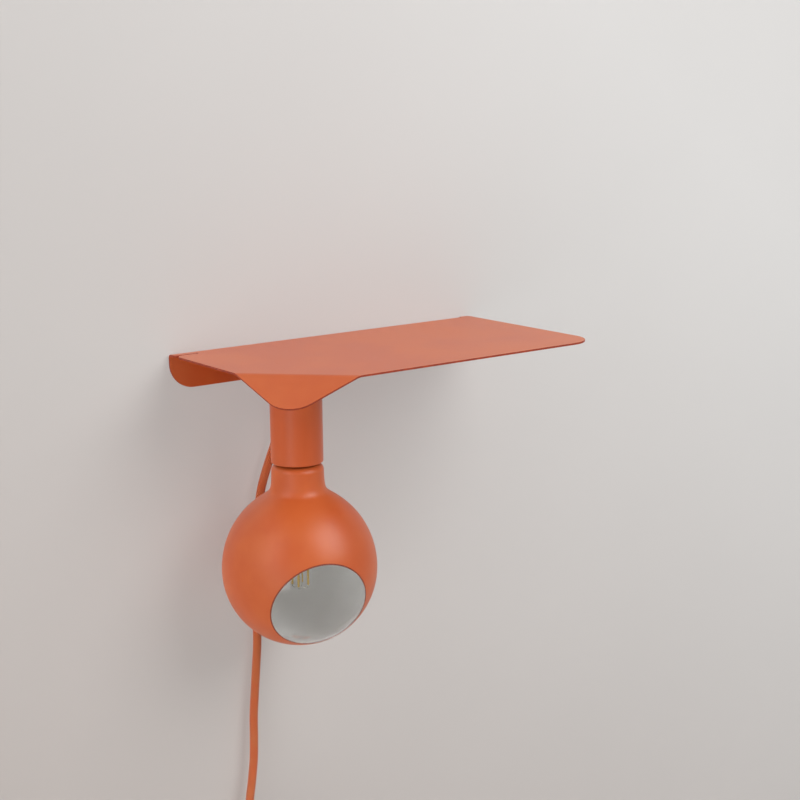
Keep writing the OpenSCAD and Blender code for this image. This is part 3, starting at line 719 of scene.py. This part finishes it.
def cut_blank(bm):
    """The flat blank with its rounded corners, its slit with a round end, and the wall holes."""
    relief = Vector((SLIT_L, -SLIT_BACK - SLIT_END_R / 2, 0))   # middle of the slit's round end
    slit_ends = [Vector((relief.x - math.sqrt(SLIT_END_R ** 2 - (y - relief.y) ** 2), y, 0))
                 for y in (-SLIT_BACK, -SLIT_FRONT)]
    corners = [   # place on the blank and the radius of the corner there
        (0, -SHELF_D, FLAP_TIP_R), (SHELF_L, -SHELF_D, FRONT_CORNER_R),
        (SHELF_L, 0, REAR_CORNER_R), (FLANGE_SIDE, 0, 0),
        (FLANGE_SIDE, -REAR_R, 0), (FLANGE_SIDE - NOTCH, -REAR_R, 0),
        (FLANGE_SIDE - NOTCH, FLAT_END, FLANGE_CORNER_R), (0, FLAT_END, FLANGE_CORNER_R),
        (0, -SLIT_BACK, SLIT_STRIP_R), (*slit_ends[0][:2], 0),
        (*slit_ends[1][:2], 0), (0, -SLIT_FRONT, SLIT_SHELF_R),
    ]
    verts = [bm.verts.new((x, y, 0)) for x, y, r in corners]
    bm.faces.new(verts)
    for v, (x, y, r) in zip(verts, corners):
        if r:
            bmesh.ops.bevel(bm, geom=[v], offset=r, offset_type="OFFSET", segments=10,
                            profile=0.5, affect="VERTICES", material=-1)
    bmesh.ops.delete(bm, geom=bm.faces[:], context="FACES_ONLY")
    back, front = (next(v for v in bm.verts if (v.co - spot).length < WELD)
                   for spot in slit_ends)
    bmesh.ops.delete(bm, geom=[bm.edges.get((back, front))], context="EDGES")
    open_turn = (back.co - relief).angle(front.co - relief)
    bmesh.ops.spin(bm, geom=[back], cent=relief, axis=(0, 0, -1), angle=TURN - open_turn, steps=16)
    bmesh.ops.remove_doubles(bm, verts=bm.verts, dist=WELD)
    hole_y = FLAT_END - (FLANGE_H - HOLE_DROP)
    for way in (-1, 1):
        hole = Matrix.Translation((SHELF_L / 2 + way * HOLE_SPACING / 2, hole_y, 0))
        bmesh.ops.create_circle(bm, segments=32, radius=HOLE_R, matrix=hole)
    bmesh.ops.triangle_fill(bm, edges=bm.edges[:], use_beauty=True, use_dissolve=False,
                            normal=(0, 0, 1))


def fold_corner(bm):
    """Folds the front left corner down softly, along a line at 45 degrees."""
    corner_way = Vector((-1, -1, 0)).normalized()
    fold_middle = Vector((FLAP_LEG / 2, FLAP_LEG / 2 - SHELF_D, 0))
    start = fold_middle - corner_way * FLAP_R * math.tan(FLAP_ANGLE / 2)
    axis = Vector((1, -1, 0)).normalized()
    fold(bm, start, corner_way, axis, FLAP_ANGLE, FLAP_R, 12)


def fold_flange(bm):
    """Folds the wall flange down along the rear, up to the level strip past it."""
    fold(bm, Vector((0, -REAR_R, 0)), Vector((0, 1, 0)), Vector((1, 0, 0)), -math.pi / 2, REAR_R, 8,
         takes=lambda co: co.x < FLANGE_SIDE - NOTCH / 2)


def make_shelf():
    """One sheet, cut flat, folded twice and given its thickness."""
    bm = bmesh.new()
    cut_blank(bm)
    fold_corner(bm)
    fold_flange(bm)
    bmesh.ops.recalc_face_normals(bm, faces=bm.faces)
    if sum(face.normal.z * face.calc_area() for face in bm.faces) < 0:
        bmesh.ops.reverse_faces(bm, faces=bm.faces)
    moved(bm, Matrix.Translation((-SHELF_L / 2, 0, SHELF_TOP)))
    piece = finished(bm, "shelf_sheet", "shelf_body", "lacquered_metal", POWDER_COAT, EDGE_SHADE_PAINT,
                     replaces=["shelf"], open_sheet=True)
    sheet = piece.modifiers.new("sheet thickness", "SOLIDIFY")
    sheet.thickness, sheet.offset, sheet.use_even_offset = SHEET_T, -1, True
    # the rim faces along the cut edges take the second finish, which is painted shade
    sheet.material_offset_rim = 1
    edges = piece.modifiers.new("coated edges", "BEVEL")
    edges.width, edges.segments = COATED_EDGE_W, 2
    edges.limit_method, edges.angle_limit = "ANGLE", math.radians(50)
    even_shading(piece)


make_shelf()

# ---------- globe bulb ----------

GLOBE_R, GLOBE_RISE, GLOBE_DROP = 62.5 * MM, 66.5 * MM, 172 * MM
NECK_R, NECK_BLEND, NECK_TOP, SHOULDER_H = 20.8 * MM, 9.5 * MM, 84.5 * MM, 7 * MM
MOUTH_RISE = GLOBE_DROP - NECK_TOP
GLASS_T, MOUTH_R, MOUTH_LIP = 1.2 * MM, 13.2 * MM, 0.4 * MM
WINDOW_R, WINDOW_TILT = 39 * MM, math.radians(21)
WINDOW_PLAY = 0.04 * MM          # between the lacquered part and the clear part
# EDGE_BAND is the width of the painted shade round the window
EDGE_BAND = 0.8 * MM             # the lacquer's darker edge round the window
GLOBE_STEPS, LOWER_STEP, UPPER_STEPS, SHOULDER_STEPS = 160, 2, 70, 14   # LOWER_STEP in degrees


def outline_at(angle, inset):
    """A point of the bulb's outline, seen from the globe's centre at an angle from its axis.

    An egg shape and the straight neck flow into each other."""
    across, up = math.sin(angle), math.cos(angle)
    egg = 1 / math.hypot(across / (GLOBE_R - inset), up / (GLOBE_RISE - inset))
    neck = (NECK_R - inset) / across
    reach = (egg + neck + math.hypot(egg - neck, NECK_BLEND)) / 2
    return reach * across, reach * up


def equator(inset):
    """The outline's half width at the globe's middle."""
    return outline_at(math.pi / 2, inset)[0]


def bulb_profile(inset):
    """Half outline of the bulb from its lowest point to the mouth that takes the cap."""
    round_r = equator(inset)
    angles = [math.radians(a) for a in range(0, 90, LOWER_STEP)]
    lower = [(round_r * math.sin(a), -round_r * math.cos(a)) for a in angles]
    first, last = math.pi / 2, math.atan(NECK_R / (MOUTH_RISE - SHOULDER_H))
    upper = [outline_at(first + (last - first) * k / UPPER_STEPS, inset)
             for k in range(UPPER_STEPS + 1)]
    wall, lip = Vector(upper[-1]), Vector((MOUTH_R + MOUTH_LIP, MOUTH_RISE - inset))
    angles = [math.pi / 2 * k / SHOULDER_STEPS for k in range(1, SHOULDER_STEPS + 1)]
    shoulder = [(lip.x + (wall.x - lip.x) * math.cos(a), wall.y + (lip.y - wall.y) * math.sin(a))
                for a in angles]
    return lower + upper + shoulder + [(MOUTH_R, MOUTH_RISE - inset)]


def window_way():
    """Direction of the window's middle, seen from the globe's centre."""
    return Vector((0, -math.cos(WINDOW_TILT), -math.sin(WINDOW_TILT)))


def all_of(verts):
    """The vertices with their edges and faces."""
    edges = dict.fromkeys(e for v in verts for e in v.link_edges)
    faces = dict.fromkeys(f for v in verts for f in v.link_faces)
    return verts + list(edges) + list(faces)


def window_plane(inset, radius):
    """Plane that cuts a circle of the given radius round the window out of one skin."""
    reach = math.sqrt(equator(inset) ** 2 - radius ** 2)
    return {"plane_co": window_way() * reach, "plane_no": window_way()}


def spun_skin(bm, inset, radius, **side):
    """Spins one skin of the glass and cuts it at the window.

    Returns its open edges at the window and at the mouth."""
    before = set(bm.verts)
    revolve(bm, bulb_profile(inset), GLOBE_STEPS)
    new = [v for v in bm.verts if v not in before]
    cut = bmesh.ops.bisect_plane(bm, geom=all_of(new), dist=WELD,
                                 **window_plane(inset, radius), **side)["geom_cut"]
    at_window = [g for g in cut if isinstance(g, bmesh.types.BMEdge)]
    cut_edges, mouth_z = set(at_window), MOUTH_RISE - 2 * inset - WELD
    at_mouth = [e for e in bm.edges if e.is_boundary and e not in cut_edges
                and all(v not in before and v.co.z > mouth_z for v in e.verts)]
    return at_window, at_mouth


def closed_wall(bm, *pairs):
    """Joins the open edges of the two skins and keeps them crisp. Returns the new faces."""
    faces = []
    for outer, inner in pairs:
        faces += bmesh.ops.bridge_loops(bm, edges=outer + inner)["faces"]
        for edge in outer + inner:
            edge.smooth = False
    return faces


def make_globe():
    """Lacquered glass with its white inside, cut out round the window."""
    bm = bmesh.new()
    window, mouth = spun_skin(bm, 0, WINDOW_R, clear_outer=True)
    band = window_plane(0, WINDOW_R + EDGE_BAND)
    everything = bm.verts[:] + bm.edges[:] + bm.faces[:]
    bmesh.ops.bisect_plane(bm, geom=everything, dist=WELD, **band)
    # faces in the band round the window take the third finish, painted darker as shade
    for face in bm.faces:
        past = (face.calc_center_median() - band["plane_co"]).dot(band["plane_no"]) > 0
        face.material_index = 2 if past else 0
    outer_faces = set(bm.faces)
    inner_window, inner_mouth = spun_skin(bm, GLASS_T, WINDOW_R, clear_outer=True)
    for face in bm.faces:
        if face not in outer_faces:
            face.material_index = 1
    # the cut faces of the glass wall take the third finish too, painted darker as shade
    for face in closed_wall(bm, (window, inner_window), (mouth, inner_mouth)):
        face.material_index = 2
    moved(bm, at_bulb(GLOBE_DROP))
    finished(bm, "lacquered_globe", "bulb", "lacquered_glass", LACQUER, INNER_WHITE, LACQUER_EDGE,
             replaces=["globe_shell"])


def make_window():
    """The clear part of the same glass."""
    bm = bmesh.new()
    outer, inner = (spun_skin(bm, inset, WINDOW_R - WINDOW_PLAY, clear_inner=True)[0]
                    for inset in (0, GLASS_T))
    closed_wall(bm, (outer, inner))
    moved(bm, at_bulb(GLOBE_DROP))
    finished(bm, "clear_window", "bulb", "clear_glass", CLEAR_GLASS, replaces=["globe_window"])


make_globe()
make_window()

# ---------- finishes of the CAD nodes that keep their shape ----------

KEPT_NODES = {
    "holder_cup": POWDER_COAT,
    "magnet_pot": ZINC_STEEL, "magnet_ring": FERRITE,
    "magnet_washer": ZINC_STEEL, "magnet_nut": ZINC_STEEL,
    "socket_pillars": ZINC_STEEL, "socket_body": CERAMIC, "socket_screws": ZINC_STEEL,
    "thread_shell": BRASS, "centre_contact": BRASS,
    "terminals": BRASS, "terminal_screws": ZINC_STEEL, "earth_screw": BRASS,
    "live_wire": BROWN_WIRE, "neutral_wire": BLUE_WIRE, "earth_wire": EARTH_WIRE,
    "cord_gland": BLACK_PLASTIC, "gland_nut": ZINC_STEEL, "switch_screws": ZINC_STEEL,
    "rocker_pin": ZINC_STEEL, "plug_pins": NICKEL, "plug_earth_strips": NICKEL,
    "bulb_cap": NICKEL, "cap_insulator": BLACK_GLASS, "cap_contact": BRASS,
    "glass_stem": CLEAR_GLASS, "support_wires": NICKEL, "led_filaments": PHOSPHOR,
    "driver_board": BOARD,
}


def dress_nodes():
    """Gives each kept node its finish."""
    for name, finish in KEPT_NODES.items():
        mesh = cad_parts[name].data
        mesh.materials.clear()
        mesh.materials.append(finish)


dress_nodes()

# ---------- stage and light ----------

WALL_LOW, WALL_HIGH = colour(203, 196, 192), colour(206, 199, 195)
# painted light on the wall: the pale look at the lower left, darker, and at the upper right,
# lighter, the way between them at the middle of the object, and what that grows by in a metre to
# the right and upwards
PAINTED_LIGHT_LOW, PAINTED_LIGHT_HIGH = colour(178, 172, 168), colour(249, 254, 255)
PALE_MIDDLE, PALE_ACROSS, PALE_UP = 0.536, 0.68, 0.87
PALE_SHARE = 0.4                 # the rest of what shows is lit by the lamps
FLOOR_Z = -0.66
WALL_GAP = 0.4 * MM
STAGE_REACH = 6.0


def stage_paint():
    """Matt paint that looks partly pale, with painted light that grows lighter from the lower left
    to the upper right.

    Lamps shine through it, and the camera sees it from its front only."""
    f = Finish("matt stage paint")
    spot = f.coords()
    cloud = f.noise(spot, 3, 3)
    f.surface(Base_Color=f.mix(cloud.rising(0.3, 0.7), WALL_LOW, WALL_HIGH), Roughness=0.9)
    across, _, up = f.axes(spot)
    # painted light: the pale look grows lighter to the right and upwards
    painted_light_gradient = (PALE_MIDDLE + PALE_ACROSS * across + PALE_UP * up).most(0).least(1)
    pale = f.node("ShaderNodeEmission", {}, {"Color": f.mix(painted_light_gradient, PAINTED_LIGHT_LOW, PAINTED_LIGHT_HIGH)})
    share = f.ray("Camera", "Glossy", "Transmission") * PALE_SHARE
    painted = f.blend_shaders(share, f.shaded, pale)
    behind = f.ray("Camera") * f.node("ShaderNodeNewGeometry", output="Backfacing")
    clear = f.node("ShaderNodeBsdfTransparent")
    f.show(f.blend_shaders(f.ray("Shadow").most(behind), painted, clear))
    return f.material


def make_stage():
    """A floor, and the wall that the lamp hangs on."""
    paint = stage_paint()
    upright = Matrix.Rotation(math.radians(90), 4, "X")
    places = {
        "floor": Matrix.Translation((0, 0, FLOOR_Z)),
        "wall": Matrix.Translation((0, WALL_GAP, STAGE_REACH + FLOOR_Z)) @ upright,
    }
    for name, place in places.items():
        bm = bmesh.new()
        bmesh.ops.create_grid(bm, x_segments=1, y_segments=1, size=STAGE_REACH, matrix=place)
        mesh = bpy.data.meshes.new(name)
        bm.to_mesh(mesh)
        bm.free()
        mesh.materials.append(paint)
        piece = bpy.data.objects.new(name, mesh)
        bpy.context.scene.collection.objects.link(piece)


LIT_SPOT = Vector((-0.05, -0.08, -0.15))
# name, azimuth and elevation in degrees, distance and size in metres, watts, and whether gloss
# shows it. Azimuth 0 is in front of the wall, and 90 to its right.
LAMPS = [
    ("left softbox", -90, 30, 1.5, 1.2, 7.4, True),
    ("front softbox", 24, 38, 1.8, 1.2, 20.5, True),
    ("low fill", -42, -13, 1.8, 1.8, 2.8, True),
    ("window fill", -64, -9, 1.8, 1.0, 9, False),
    ("rear fill", 180, 25, 2.2, 1.4, 15, True),
]
ROOM_LIGHT, ROOM_LIGHT_STRENGTH = colour(236, 233, 230), 0.3
ROOM_SEEN, ROOM_SEEN_STRENGTH = colour(188, 185, 182), 1.0


def softbox(name, azimuth, elevation, distance, size, watts, in_gloss):
    """A square lamp aimed at the lit spot."""
    data = bpy.data.lights.new(name, "AREA")
    data.size, data.energy = size, watts
    lamp = bpy.data.objects.new(name, data)
    lamp.visible_glossy = in_gloss
    bpy.context.scene.collection.objects.link(lamp)
    a, e = math.radians(azimuth), math.radians(elevation)
    way = Vector((math.sin(a) * math.cos(e), -math.cos(a) * math.cos(e), math.sin(e)))
    aim = way.to_track_quat("Z", "Y").to_matrix().to_4x4()
    lamp.matrix_world = Matrix.Translation(LIT_SPOT + way * distance) @ aim


def light_scene():
    """The lamps, and a pale room that lights softly and shows in gloss and glass."""
    for row in LAMPS:
        softbox(*row)
    world = bpy.data.worlds.new("pale room")
    bpy.context.scene.world = world
    world.use_nodes = True
    room = Nodes(world.node_tree, "World Output")
    light = room.node("ShaderNodeBackground", {},
                      {"Color": ROOM_LIGHT, "Strength": ROOM_LIGHT_STRENGTH})
    seen = room.node("ShaderNodeBackground", {},
                     {"Color": ROOM_SEEN, "Strength": ROOM_SEEN_STRENGTH})
    room.show(room.blend_shaders(room.ray("Camera", "Glossy", "Transmission"), light, seen))


make_stage()
light_scene()
bpy.context.scene.view_settings.view_transform = "Standard"
